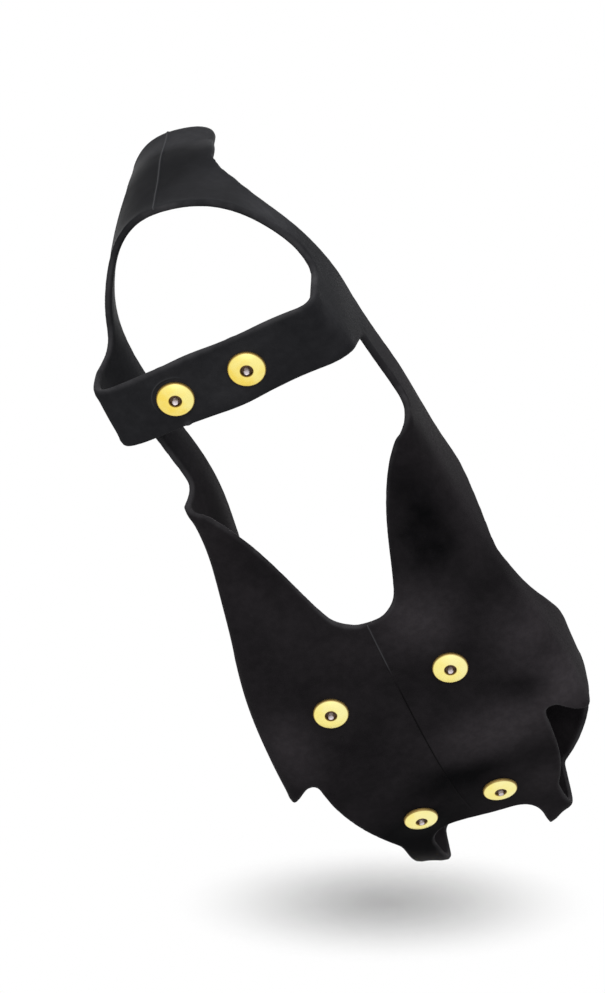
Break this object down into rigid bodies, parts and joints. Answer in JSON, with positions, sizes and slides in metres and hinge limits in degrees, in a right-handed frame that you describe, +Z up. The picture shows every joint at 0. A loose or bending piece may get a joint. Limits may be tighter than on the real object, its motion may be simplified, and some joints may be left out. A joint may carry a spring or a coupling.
{
  "type": "ice cleat",
  "caption": "Pull-on rubber overshoe harness with a toe cap, heel cup, pull tab and under-heel strap, carrying riveted carbide-pin studs under the sole for grip on ice.",
  "frame": {"origin": "bottom centre of the bounding box, on the ground plane that the heel and ball pins stand on", "axes": "+X to the wearer's inner side, +Y to the heel with the toe at -Y, +Z up"},
  "size_m": [0.1144, 0.2824, 0.102],
  "materials": {
    "rubber": "matt moulded black rubber with a dusty bloom",
    "disc": "yellow zinc plate, satin",
    "rivet": "dull plated steel",
    "pin": "ground grey carbide",
    "washer": "bright zinc plate"
  },
  "bodies": {
    "root": {"rubber_harness": "rubber", "heel_left_disc": "disc", "heel_left_rivet": "rivet", "heel_left_pin": "pin", "heel_left_washer": "washer", "heel_right_disc": "disc", "heel_right_rivet": "rivet", "heel_right_pin": "pin", "heel_right_washer": "washer", "ball_left_disc": "disc", "ball_left_rivet": "rivet", "ball_left_pin": "pin", "ball_left_washer": "washer", "ball_right_disc": "disc", "ball_right_rivet": "rivet", "ball_right_pin": "pin", "ball_right_washer": "washer", "toe_left_disc": "disc", "toe_left_rivet": "rivet", "toe_left_pin": "pin", "toe_left_washer": "washer", "toe_right_disc": "disc", "toe_right_rivet": "rivet", "toe_right_pin": "pin", "toe_right_washer": "washer"}
  },
  "joints": []
}
